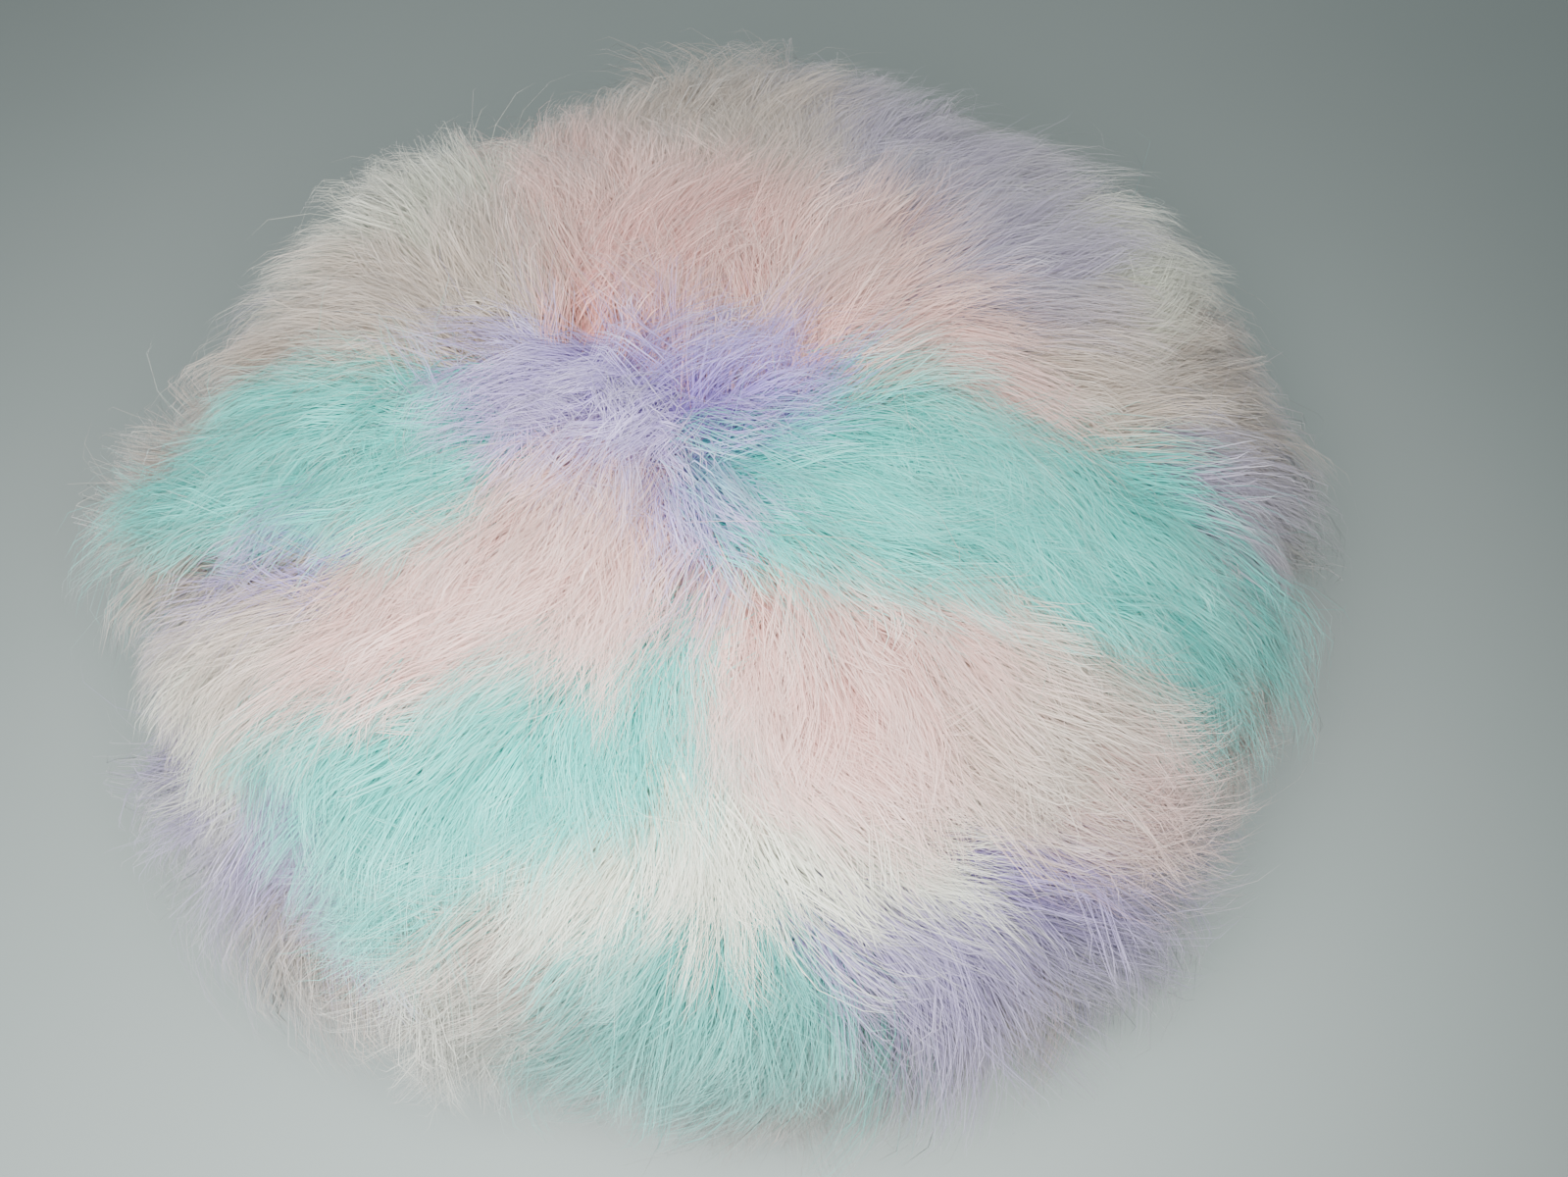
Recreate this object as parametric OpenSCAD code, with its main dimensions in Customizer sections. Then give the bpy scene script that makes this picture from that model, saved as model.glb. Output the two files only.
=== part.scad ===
// Round long-pile faux-fur cushion. A fibre-filled inner pillow sits in a zipped cover
// of eight fur panels: four gores above the rim seam and four below it.
// Millimetres, +Z up. The origin is the centre of the underside, on the floor.

/* [Overall] */
// Diameter over the pile at the rim
overall_d = 560; // [500:5:620]
// Height over the pile, standing on the floor
overall_h = 320; // [290:5:350]
// Height of the rim seam above the floor
rim_z = 150; // [140:1:160]
// Shape of the profile: 2 is an ellipse, and more is squarer
fullness = 2.3; // [2.1:0.1:2.6]
// How far the underside would drop below the floor if nothing flattened it
belly = 1.12; // [1.08:0.01:1.2]

/* [Pile] */
// Depth of the pile that stands off the cover at the rim
pile_rim = 45; // [38:1:55]
// Depth of the pile that lies over the crown
pile_top = 28; // [20:1:36]
// Depth of the pile pressed flat under the cushion
pile_base = 10; // [6:1:14]

/* [Cover] */
// Thickness of a fur panel's knitted backing
backing_t = 3; // [2.5:0.1:3.5]
// Depth of the seam allowances turned inside the cover, backing included
allowance = 9; // [8.5:0.1:10]
// Thickness of the thread in every seam
thread_t = 1; // [0.8:0.1:1.2]
// Azimuth of the first gore seam, in degrees
seam_turn = 5; // [0:1:20]

/* [Zip] */
// Arc of the rim that the zip's tapes take, in degrees
zip_arc = 80; // [76:1:80]
// Width of one zip tape
tape_w = 14; // [13:0.5:15]
// Radius of one side's coil
coil_r = 1.1; // [1:0.05:1.2]
// Half height of the parting that the slider and its pull run in, under the pile
groove_half = 9; // [8:0.5:10]
// Length of the pull tab, from its pin
pull_l = 22; // [18:1:24]

/* [Inner pillow] */
// Thickness of the woven pillow case
case_t = 1; // [0.8:0.1:1.4]
// Arc of the case seam that is closed by hand after filling, in degrees
closing_arc = 40; // [30:1:60]

/* [Hidden] */
STEPS = 12;                               // straight bands in each curve of a profile
overlap = 1;                              // how far joined shapes of one panel reach into each other
clear = 0.3;                              // running clearance of the slider
cover_r = overall_d / 2 - pile_rim;       // outer face of the backing at the rim
cover_top = overall_h - rim_z - pile_top; // the same above the rim, at the crown
cover_cut = rim_z - pile_base;            // the same below the rim, at the flat
PILE = [overall_d / 2, overall_h - rim_z, rim_z];
panel_arc = 90;
thread_in = backing_t + 1;                // depth of the seams inside the cover
thread_h = 1.5;                           // height of a row of stitches
allow_t = backing_t;                      // thickness of one turned-in edge

// The zip, in the frame of the first gore: its angles start at that gore's first seam
zip_mid = panel_arc / 2;
tape_from = zip_mid - zip_arc / 2;
tape_to = zip_mid + zip_arc / 2;
groove_from = tape_from - 1;
groove_to = tape_to + 1;
stop_arc = 0.8;
low_stop = tape_from + 2.5;               // where the lower stop starts
high_stop = tape_to - 2.2;                // where the upper stops start
coil_from = low_stop + stop_arc;
tape_t = 0.8;
tape_r = cover_r - backing_t - 2;         // outer face of the tapes
coil_mid_r = tape_r + coil_r;
coil_gap = 0.7;                           // from the middle of the zip to either coil
coil_z = coil_gap + coil_r;
stitch_z = 12;                            // height of the rows that hold the tapes
stitch_t = 0.4;
fold_top = 15;                            // how far up a panel's folded edge covers its tape
fold_bite = 0.6;                          // how far that edge reaches into the backing
stop_over = 0.1;                          // how far a stop stands over its coil

// The slider, and the pull on its bridge
slider_arc = 2.5;
slider_half_w = 5;
slider_from = high_stop - slider_arc - 0.15;
slider_mid = slider_from + slider_arc / 2;
post_half = 0.4;
inner_plate = [tape_r - tape_t - clear - 1.2, tape_r - tape_t - clear];
outer_plate = [tape_r + 2 * coil_r + clear, tape_r + 2 * coil_r + clear + 1.3];
flange_from = tape_r + clear + 0.1;
flange_z = coil_z + coil_r + 0.4;
pin_r = 0.8;
pin_clear = 0.4;
pin_at = outer_plate[1] + pin_clear + pin_r;
bridge_top = pin_at + pin_r + pin_clear;
bridge_t = 1;
lug_root = 0.5;                           // how far the bridge's lugs reach into the plate
bridge_half_w = 1.2;
lug_arc = 0.5;
lug_margin = 0.1;
arm_z = [bridge_half_w + 0.5, bridge_half_w + 2.3];
groove_r = [cover_r - 35, pin_at + pull_l + 4]; // the pile closes over the zip beyond this
pull_t = 1.2;
pull_start = 6.2;                         // where the tab's plate starts, clear of the bridge
pull_hole_r = 1.5;

// The care label, in the frame of the third gore
label_arc = [30, 40];
label_low = -45;                          // its free end, from the rim
label_lean = 3;                           // how far in that end lies
label_t = 0.5;
label_gap = 1.4;                          // from the pillow to the label, at the rim

// ---- Profiles, with the rim at z = 0 ----

// The cover's shape `inset` inside the outer face of its backing: radius, rise and drop
function inside(inset) = [cover_r - inset, cover_top - inset, cover_cut - inset];

// From the rim to the crown
function rise_curve(shape) = [
    for (i = [0:STEPS]) let (t = 90 * i / STEPS)
        [shape[0] * pow(cos(t), 2 / fullness), shape[1] * pow(sin(t), 2 / fullness)]
];

// From the rim to the edge of the flat underside, and along it to the axis
function drop_curve(shape) = let (end = asin(pow(1 / belly, fullness / 2))) concat(
    [for (i = [0:STEPS]) let (t = end * i / STEPS)
        [shape[0] * pow(cos(t), 2 / fullness), -shape[2] * belly * pow(sin(t), 2 / fullness)]],
    [[0, -shape[2]]]
);

function reversed(list) = [for (i = [len(list) - 1:-1:0]) list[i]];

module rise_section(outer, inner) polygon(concat(rise_curve(outer), reversed(rise_curve(inner))));
module drop_section(outer, inner) polygon(concat(drop_curve(outer), reversed(drop_curve(inner))));

// A rectangle in the section plane, from radius a[0] to a[1] and height b[0] to b[1]
module box_section(a, b) translate([a[0], b[0]]) square([a[1] - a[0], b[1] - b[0]]);

// Its child, a section, swept about Z from one angle to another
module sweep(from, to) rotate(from) rotate_extrude(angle = to - from) children();

module at_rim() translate([0, 0, rim_z]) children();
module at_gore(i) at_rim() rotate(seam_turn + panel_arc * i) children();
module both_sides() {
    children();
    mirror([0, 0, 1]) children();
}

// ---- Cover ----

// The two turned-in edges of a gore and its turned-in rim, as slabs to cut from a layer.
// They leave room for the thread between one panel and the next.
module edge_slabs() {
    reach = overall_d / 2;
    gap = thread_t / 2;
    both_sides() translate([gap, gap, gap]) {
        cube([reach, allow_t, reach]);
        cube([allow_t, reach, reach]);
        cube([reach, reach, allow_t]);
    }
}

module zip_groove()
    sweep(groove_from, groove_to) box_section(groove_r, [-overlap, groove_half]);

// The edge of a panel folded under, against its tape
module zip_fold()
    sweep(groove_from, groove_to)
        box_section([tape_r, cover_r - backing_t + fold_bite], [groove_half, fold_top]);

module top_panel(has_zip) {
    difference() {
        union() {
            sweep(0, panel_arc) rise_section(PILE, inside(backing_t));
            intersection() {
                sweep(0, panel_arc) rise_section(inside(backing_t - overlap), inside(allowance));
                edge_slabs();
            }
        }
        if (has_zip) zip_groove();
    }
    if (has_zip) zip_fold();
}

module base_panel(has_zip) {
    difference() {
        union() {
            sweep(0, panel_arc) drop_section(PILE, inside(backing_t));
            intersection() {
                sweep(0, panel_arc) drop_section(inside(backing_t - overlap), inside(allowance));
                edge_slabs();
            }
        }
        if (has_zip) mirror([0, 0, 1]) zip_groove();
    }
    if (has_zip) mirror([0, 0, 1]) zip_fold();
}

// Four rows of stitches that meet on the axis, one in each gore seam
module gore_rows() {
    difference() {
        for (i = [0:3]) rotate([90, 0, i * panel_arc])
            linear_extrude(height = thread_t, center = true) children();
        cylinder(h = thread_t, r = overall_d, center = true);
    }
}

module rim_stitching()
    color("whitesmoke") at_gore(0) sweep(groove_to + 0.5, groove_from + 359.5)
        box_section([cover_r - thread_in - thread_h, cover_r - thread_in], [-thread_t / 2, thread_t / 2]);

// ---- Zip: each piece is drawn for the upper side, in the first gore's frame ----

module tape() sweep(tape_from, tape_to) box_section([tape_r - tape_t, tape_r], [coil_gap + 0.2, tape_w + 1]);

module coil() sweep(coil_from, high_stop) translate([coil_mid_r, coil_z]) circle(r = coil_r, $fn = 32);

module tape_stitches() sweep(tape_from + 0.5, tape_to - 0.5)
    box_section([tape_r - tape_t - stitch_t, tape_r - tape_t], [stitch_z - stitch_t, stitch_z + stitch_t]);

module stop(from) sweep(from, from + stop_arc)
    box_section([tape_r, tape_r + 2 * coil_r + 2 * stop_over], [coil_gap, coil_z + coil_r + stop_over]);

module bottom_stop() sweep(low_stop, low_stop + stop_arc) let (half = coil_z + coil_r + stop_over)
    box_section([tape_r, tape_r + 2 * coil_r + 2 * stop_over], [-half, half]);

module slider() {
    sweep(slider_from, slider_from + slider_arc) {
        box_section(outer_plate, [-slider_half_w, slider_half_w]);
        box_section(inner_plate, [-slider_half_w, slider_half_w]);
        box_section([inner_plate[0], outer_plate[1]], [-post_half, post_half]);
        box_section([flange_from, outer_plate[1]], [flange_z, slider_half_w]);
        box_section([flange_from, outer_plate[1]], [-slider_half_w, -flange_z]);
    }
    // the bridge that holds the pull: two lugs and the bar over them
    for (from = [slider_from + lug_margin, slider_from + slider_arc - lug_margin - lug_arc])
        sweep(from, from + lug_arc)
            box_section([outer_plate[1] - lug_root, bridge_top + bridge_t], [-bridge_half_w, bridge_half_w]);
    sweep(slider_from + lug_margin, slider_from + slider_arc - lug_margin)
        box_section([bridge_top, bridge_top + bridge_t], [-bridge_half_w, bridge_half_w]);
}

// The pull lies along the zip, away from the upper stops, and turns on its own pin
module pull() {
    rotate(slider_mid) translate([pin_at, 0, 0]) {
        cylinder(r = pin_r, h = 2 * arm_z[1], center = true, $fn = 32);
        both_sides() translate([-pull_t / 2, -pull_start - 1, arm_z[0]])
            cube([pull_t, pull_start + 1, arm_z[1] - arm_z[0]]);
        rotate([0, 90, 0]) linear_extrude(height = pull_t, center = true) difference() {
            union() {
                translate([-arm_z[1], -pull_l + arm_z[1]])
                    square([2 * arm_z[1], pull_l - arm_z[1] - pull_start]);
                translate([0, -pull_l + arm_z[1]]) circle(r = arm_z[1], $fn = 48);
            }
            translate([0, -pull_l + arm_z[1]]) circle(r = pull_hole_r, $fn = 32);
        }
    }
}

// ---- Inner pillow ----

seam_gap = 0.4;                           // half the height of the case's seam
case_inset = allowance + 0.2;
case_shape = inside(case_inset);
core_shape = inside(case_inset + case_t);
closing_from = 200;

module case_half() difference() {
    children();
    cylinder(r = overall_d, h = 2 * seam_gap, center = true);
}

module case_seam(from, to)
    sweep(from, to) box_section([core_shape[0], case_shape[0]], [-seam_gap, seam_gap]);

module care_label() {
    // a plain woven tag that hangs from the rim seam, between cover and pillow
    top = [case_shape[0] + label_gap, -thread_t / 2 - allow_t];
    low = [case_shape[0] - label_lean, label_low];
    color("white") at_gore(2) sweep(label_arc[0], label_arc[1])
        polygon([top, low, low + [label_t, 0], top + [label_t, 0]]);
}

// ---- Assembly: the fur's colours follow its pastel patches ----

color("lavender") at_gore(0) top_panel(true);  // top_panel_rear_right
color("mistyrose") at_gore(1) top_panel(false);  // top_panel_rear_left
color("pink") at_gore(2) top_panel(false);  // top_panel_front_left
color("paleturquoise") at_gore(3) top_panel(false);  // top_panel_front_right

color("thistle") at_gore(0) base_panel(true);  // base_panel_rear_right
color("paleturquoise") at_gore(1) base_panel(false);  // base_panel_rear_left
color("thistle") at_gore(2) base_panel(false);  // base_panel_front_left
color("mistyrose") at_gore(3) base_panel(false);  // base_panel_front_right

color("whitesmoke") at_gore(0) gore_rows()  // top_gore_stitching
        rise_section(inside(thread_in), inside(thread_in + thread_h));
color("whitesmoke") at_gore(0) gore_rows()  // base_gore_stitching
        drop_section(inside(thread_in), inside(thread_in + thread_h));
rim_stitching();

color("white") at_gore(0) tape();  // zip_tape_upper
color("white") at_gore(0) mirror([0, 0, 1]) tape();  // zip_tape_lower
color("ivory") at_gore(0) coil();  // zip_coil_upper
color("ivory") at_gore(0) mirror([0, 0, 1]) coil();  // zip_coil_lower
color("gainsboro") at_gore(0) tape_stitches();  // zip_stitching_upper
color("gainsboro") at_gore(0) mirror([0, 0, 1]) tape_stitches();  // zip_stitching_lower
color("silver") at_gore(0) both_sides() stop(high_stop);  // zip_top_stops
color("silver") at_gore(0) bottom_stop();  // zip_bottom_stop
color("silver") at_gore(0) slider();  // zip_slider
color("silver") at_gore(0) pull();  // zip_pull

color("white") at_gore(0) case_half() sweep(0, 360) rise_section(case_shape, core_shape);  // pillow_case_top
color("white") at_gore(0) case_half() sweep(0, 360) drop_section(case_shape, core_shape);  // pillow_case_base
color("gainsboro") at_gore(0) case_seam(closing_from + closing_arc, closing_from + 360);  // pillow_case_stitching
color("gainsboro") at_gore(0) case_seam(closing_from, closing_from + closing_arc);  // closing_stitches
color("snow") at_rim() sweep(0, 360)  // fibre_filling
        polygon(concat(rise_curve(core_shape), reversed(drop_curve(core_shape))));
care_label();
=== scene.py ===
"""Looks of the round long-pile faux-fur cushion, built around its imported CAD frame.

Metres, +Z up, the origin at the centre of the underside. The fur is real geometry: locks of
tapered strands that grow from the cover's puffed backing, in four layers on each upper panel and
two on each lower one.
"""

import math

import bpy
import numpy as np
from mathutils import Matrix, Vector


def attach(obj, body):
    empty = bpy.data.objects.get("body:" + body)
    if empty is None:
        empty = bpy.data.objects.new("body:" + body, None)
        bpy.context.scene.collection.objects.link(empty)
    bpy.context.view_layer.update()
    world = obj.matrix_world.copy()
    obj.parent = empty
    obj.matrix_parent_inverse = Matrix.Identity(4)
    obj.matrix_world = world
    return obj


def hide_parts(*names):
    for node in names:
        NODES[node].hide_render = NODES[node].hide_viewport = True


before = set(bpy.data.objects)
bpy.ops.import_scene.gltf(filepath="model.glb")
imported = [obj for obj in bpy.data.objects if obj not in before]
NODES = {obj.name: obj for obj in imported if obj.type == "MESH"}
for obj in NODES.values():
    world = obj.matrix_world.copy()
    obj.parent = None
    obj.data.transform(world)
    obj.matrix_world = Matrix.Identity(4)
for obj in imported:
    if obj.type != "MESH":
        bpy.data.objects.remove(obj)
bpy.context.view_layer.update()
SCENE = bpy.context.scene
TAU = 2 * math.pi

# ---- Camera: it looks down on the cushion from in front, tilted a little to one side ----

EYE = (0.0855, -0.469, 0.707)
LOOK_DOWN, ROLL = math.radians(51.5), math.radians(8.5)
LENS, SENSOR = 34.45, 36.0  # mm


def make_camera():
    down = Vector((
        math.cos(LOOK_DOWN) * math.sin(ROLL),
        math.cos(LOOK_DOWN) * math.cos(ROLL),
        math.sin(LOOK_DOWN),
    ))  # the world's down, as the camera's right, down and forward
    east = Vector((1, 0, 0)) - down.x * down
    east.normalize()
    south = down.cross(east)
    if south.y < 0:
        south.negate()
    world = Matrix((east, -south, -down))
    axes = Matrix((
        world @ Vector((1, 0, 0)),
        -(world @ Vector((0, 1, 0))),
        -(world @ Vector((0, 0, 1))),
    ))
    data = bpy.data.cameras.new("camera")
    data.lens, data.sensor_width = LENS, SENSOR
    data.clip_start, data.clip_end = 0.02, 30.0
    camera = bpy.data.objects.new("camera", data)
    camera.matrix_world = Matrix.Translation(EYE) @ axes.transposed().to_4x4()
    SCENE.collection.objects.link(camera)
    SCENE.camera = camera


make_camera()

# ---- The cover's shape, as in the CAD ----

RIM_Z = 0.150
CENTRE = np.array([0, 0, RIM_Z])
COVER_R, COVER_TOP, COVER_CUT = 0.235, 0.142, 0.140
FULLNESS, BELLY = 2.3, 1.12
SEAM_TURN = math.radians(5)
BACKING = 0.003
ZIP_ARC = (math.radians(9), math.radians(91))
ZIP_HALF = 0.009
GORES = ("rear_right", "rear_left", "front_left", "front_right")


def profile(s, inset=0.0):
    """Radius and height over the rim at s: 0 at the crown, 1 at the rim, 2 under the middle."""
    a = np.asarray(s, float) * math.pi / 2
    c, q = np.cos(a), np.sin(a)
    k = (np.abs(q) ** FULLNESS + np.abs(c) ** FULLNESS) ** (-1 / FULLNESS)
    r = (COVER_R - inset) * q * k
    z = np.where(c > 0, (COVER_TOP - inset) * c * k, (COVER_CUT - inset) * BELLY * c * k)
    return r, np.maximum(z, inset - COVER_CUT)


def surface(s, az, inset=0.0):
    r, z = profile(s, inset)
    return np.stack([r * np.cos(az), r * np.sin(az), z + RIM_Z], -1)


def unit(v):
    return v / np.maximum(np.linalg.norm(v, axis=-1, keepdims=True), 1e-9)


def smooth(a, b, x):
    t = np.clip((x - a) / (b - a), 0, 1)
    return t * t * (3 - 2 * t)


def outward(s, az):
    """The cover's normal, and its downhill and sideways directions."""
    e = 1e-3
    r0, z0 = profile(np.maximum(s - e, 0))
    r1, z1 = profile(s + e)
    dr, dz = r1 - r0, z1 - z0
    step = np.hypot(dr, dz)
    dr, dz = dr / step, dz / step
    c, q = np.cos(az), np.sin(az)
    downhill = np.stack([dr * c, dr * q, dz], -1)
    normal = np.stack([-dz * c, -dz * q, dr], -1)
    side = np.stack([-q, c, np.zeros_like(c)], -1)
    return normal, downhill, side


def waves(seed, reach, n=7):
    """Smooth noise over the plane (u, v): waves with lengths about `reach`, from -1 to 1."""
    rng = np.random.default_rng(seed)
    turn, phase = rng.uniform(0, TAU, n), rng.uniform(0, TAU, n)
    k = TAU / (reach * rng.uniform(0.6, 1.7, n))

    def value(uv):
        along = uv[..., 0, None] * np.cos(turn) + uv[..., 1, None] * np.sin(turn)
        return np.sin(along * k + phase).sum(-1) / math.sqrt(n)

    return value


def on_plane(s, az):
    """(s, azimuth) laid out flat, as (u, v) = s (cos azimuth, sin azimuth)."""
    return np.stack([s * np.cos(az), s * np.sin(az)], -1)


def to_uv(p):
    """Where a point lies over the cover, in the (u, v) plane."""
    r = np.hypot(p[..., 0], p[..., 1])
    z = p[..., 2] - RIM_Z
    high = np.where(z > 0, COVER_TOP, COVER_CUT * BELLY)
    s = np.arctan2(r / COVER_R, z / high) * 2 / math.pi
    return on_plane(s, np.arctan2(p[..., 1], p[..., 0]))


# ---- Meshes from arrays ----


def make_object(name, points, faces, material=None, tint=None, uv=None):
    """A mesh object. faces is a list of (n, corners) index arrays."""
    mesh = bpy.data.meshes.new(name)
    sizes = np.concatenate([np.full(len(f), f.shape[1], np.int32) for f in faces])
    corners = np.concatenate([f.ravel() for f in faces]).astype(np.int32)
    mesh.vertices.add(len(points))
    mesh.vertices.foreach_set("co", np.asarray(points, np.float32).ravel())
    mesh.loops.add(len(corners))
    mesh.loops.foreach_set("vertex_index", corners)
    mesh.polygons.add(len(sizes))
    starts = np.concatenate([[0], np.cumsum(sizes)[:-1]]).astype(np.int32)
    mesh.polygons.foreach_set("loop_start", starts)
    mesh.polygons.foreach_set("use_smooth", np.full(len(sizes), True))
    if tint is not None:
        layer = mesh.color_attributes.new("tint", "FLOAT_COLOR", "POINT")
        rgba = np.ones((len(points), 4), np.float32)
        rgba[:, :3] = tint
        layer.data.foreach_set("color", rgba.ravel())
    if uv is not None:
        layer = mesh.uv_layers.new(name="OFBake")
        layer.data.foreach_set("uv", np.asarray(uv, np.float32).ravel())
    mesh.update(calc_edges=True)
    mesh.validate()
    made = bpy.data.objects.new(name, mesh)
    SCENE.collection.objects.link(made)
    if material is not None:
        mesh.materials.append(material)
    return made


def grid_faces(rows, cols):
    """The quads of a grid of points, row by row."""
    i, j = np.meshgrid(np.arange(rows - 1), np.arange(cols - 1), indexing="ij")
    a = (i * cols + j).ravel()
    return np.stack([a, a + cols, a + cols + 1, a + 1], -1)


def thicken(piece, thickness, offset=-1):
    """Gives a sheet its thickness: inward at -1, and to both sides at 0."""
    solid = piece.modifiers.new("thick", "SOLIDIFY")
    solid.thickness, solid.offset = thickness, offset


def place(piece, slot, *nodes):
    """The piece rides on the cushion and stands for the CAD nodes, which it hides. slot is not used."""
    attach(piece, "cushion")
    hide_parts(*nodes)
    return piece


# ---- Colours, by where a lock's outer half lies ----


def linear(*srgb):
    return np.array([((x + 0.055) / 1.055) ** 2.4 if x > 0.04 else x / 12.92 for x in srgb])


HUES = {
    # the colour down in the pile, and towards the tips
    "pink": (linear(0.91, 0.68, 0.64), linear(0.92, 0.79, 0.76)),
    "rose": (linear(0.90, 0.60, 0.57), linear(0.89, 0.72, 0.69)),
    "lilac": (linear(0.57, 0.49, 0.79), linear(0.74, 0.70, 0.87)),
    "violet": (linear(0.52, 0.43, 0.76), linear(0.67, 0.60, 0.86)),
    "mint": (linear(0.13, 0.72, 0.68), linear(0.38, 0.86, 0.82)),
    "cream": (linear(0.84, 0.86, 0.77), linear(0.94, 0.95, 0.89)),
    "oat": (linear(0.74, 0.66, 0.60), linear(0.84, 0.79, 0.74)),
    "mist": (linear(0.62, 0.57, 0.72), linear(0.77, 0.75, 0.82)),
}
FROST = linear(0.985, 0.985, 0.985)
PATCHES = (
    # u, v, size, hue: behind the crown
    (-0.02, 0.08, 0.10, "rose"), (0.12, 0.05, 0.09, "pink"), (0.18, -0.02, 0.06, "rose"),
    (0.25, 0.05, 0.09, "pink"), (-0.22, 0.10, 0.13, "oat"), (-0.08, 0.24, 0.12, "pink"),
    (0.08, 0.30, 0.13, "oat"), (0.38, 0.12, 0.11, "mist"), (0.22, 0.30, 0.13, "mist"),
    (0.31, -0.08, 0.09, "pink"), (0.50, -0.04, 0.12, "oat"), (-0.35, 0.28, 0.13, "cream"),
    (-0.50, 0.15, 0.12, "oat"), (-0.34, 0.03, 0.09, "oat"), (0.55, 0.15, 0.13, "cream"),
    # the crown
    (-0.15, -0.07, 0.09, "lilac"), (0.05, -0.11, 0.08, "violet"), (-0.04, -0.16, 0.08, "lilac"),
    (0.12, -0.15, 0.07, "violet"), (-0.14, -0.15, 0.06, "lilac"),
    # left
    (-0.36, -0.12, 0.13, "mint"), (-0.56, -0.05, 0.13, "mint"), (-0.24, -0.17, 0.07, "mint"),
    (-0.40, -0.245, 0.06, "violet"), (-0.54, -0.235, 0.06, "lilac"),
    (-0.10, -0.28, 0.12, "pink"), (-0.25, -0.33, 0.12, "pink"),
    (-0.45, -0.33, 0.12, "oat"), (-0.66, -0.26, 0.14, "oat"), (-0.60, -0.42, 0.12, "cream"),
    (-0.75, -0.02, 0.15, "oat"), (-0.80, -0.45, 0.16, "lilac"),
    # right
    (0.27, -0.27, 0.14, "mint"), (0.14, -0.24, 0.08, "mint"), (0.45, -0.26, 0.12, "mint"),
    (0.06, -0.27, 0.06, "lilac"), (0.62, -0.15, 0.09, "mist"), (0.62, -0.40, 0.11, "mint"),
    (0.78, -0.33, 0.11, "mint"), (0.88, -0.50, 0.11, "oat"), (0.72, 0.05, 0.13, "oat"),
    (0.86, -0.16, 0.10, "mist"), (0.74, -0.50, 0.06, "mint"),
    # middle
    (0.15, -0.46, 0.11, "pink"), (0.27, -0.45, 0.11, "pink"), (0.38, -0.50, 0.11, "oat"),
    (0.20, -0.55, 0.08, "pink"), (0.50, -0.57, 0.09, "pink"), (-0.14, -0.54, 0.13, "mint"),
    (-0.36, -0.50, 0.11, "mint"), (-0.01, -0.50, 0.07, "mint"), (-0.32, -0.62, 0.11, "mint"),
    (0.01, -0.39, 0.03, "mint"), (-0.50, -0.66, 0.13, "lilac"),
    # near the front edge
    (0.00, -0.66, 0.09, "cream"), (0.19, -0.62, 0.09, "cream"), (-0.12, -0.67, 0.07, "cream"),
    (0.06, -0.74, 0.08, "cream"), (0.30, -0.66, 0.09, "cream"), (-0.22, -0.77, 0.10, "oat"),
    (-0.34, -0.88, 0.12, "cream"), (-0.06, -0.82, 0.08, "mint"), (-0.12, -0.94, 0.12, "mint"),
    (0.15, -0.77, 0.05, "mint"), (0.12, -0.95, 0.12, "mint"), (0.20, -1.08, 0.10, "mint"),
    (0.27, -0.78, 0.09, "lilac"), (0.44, -0.71, 0.09, "violet"), (0.36, -0.88, 0.13, "lilac"),
    (0.55, -0.80, 0.14, "lilac"), (0.68, -0.62, 0.10, "oat"), (0.75, -0.75, 0.13, "lilac"),
    (-0.60, -0.88, 0.15, "oat"), (0.45, -1.12, 0.16, "lilac"), (-0.05, -1.15, 0.14, "mint"),
)
RINGS_BEYOND = (
    # s, first and last azimuth, the hues round the ring
    (0.62, 30, 160, "mist mist oat pink cream"),
    (0.92, -5, 190, "mist pink mint lilac pink cream mint lilac pink mint"),
    (1.25, -180, 180, "mint pink lilac cream mint oat pink violet mint cream "
                      "pink lilac mint oat pink cream violet mint pink lilac"),
    (1.65, -180, 180, "pink mint cream lilac mint pink oat mint "
                      "violet pink cream mint lilac pink mint cream"),
)


def all_patches():
    """The patches above, and more in rings round the sides that are out of the camera's sight."""
    rows = list(PATCHES)
    rng = np.random.default_rng(5)
    for s, first, last, names in RINGS_BEYOND:
        hues = names.split()
        for i, hue in enumerate(hues):
            az = math.radians(first + (last - first) * (i + rng.uniform(0.3, 0.7)) / len(hues))
            rows.append((s * math.cos(az), s * math.sin(az), rng.uniform(0.14, 0.19), hue))
    return rows


PATCH_ROWS = all_patches()
PATCH_EDGE = 3.6              # how sharply one patch gives way to the next
WIDE_WARP, FINE_WARP = 0.028, 0.012
WARP = (waves(11, 0.30), waves(12, 0.30), waves(13, 0.09), waves(14, 0.09))


def patch_colour(uv):
    """(root colour, tip colour) at each (u, v), linear."""
    at = uv + np.stack([WIDE_WARP * WARP[0](uv) + FINE_WARP * WARP[2](uv),
                        WIDE_WARP * WARP[1](uv) + FINE_WARP * WARP[3](uv)], -1)
    total = np.zeros(len(uv))
    root, tip = np.zeros((len(uv), 3)), np.zeros((len(uv), 3))
    far = [((at[:, 0] - u) ** 2 + (at[:, 1] - v) ** 2) / size**2 for u, v, size, _ in PATCH_ROWS]
    nearest = np.minimum.reduce(far)
    for q, (*_, hue) in zip(far, PATCH_ROWS):
        w = np.exp(-PATCH_EDGE * (q - nearest))
        total += w
        root += w[:, None] * HUES[hue][0]
        tip += w[:, None] * HUES[hue][1]
    return root / total[:, None], tip / total[:, None]


# ---- Which way the fur lies ----

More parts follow.
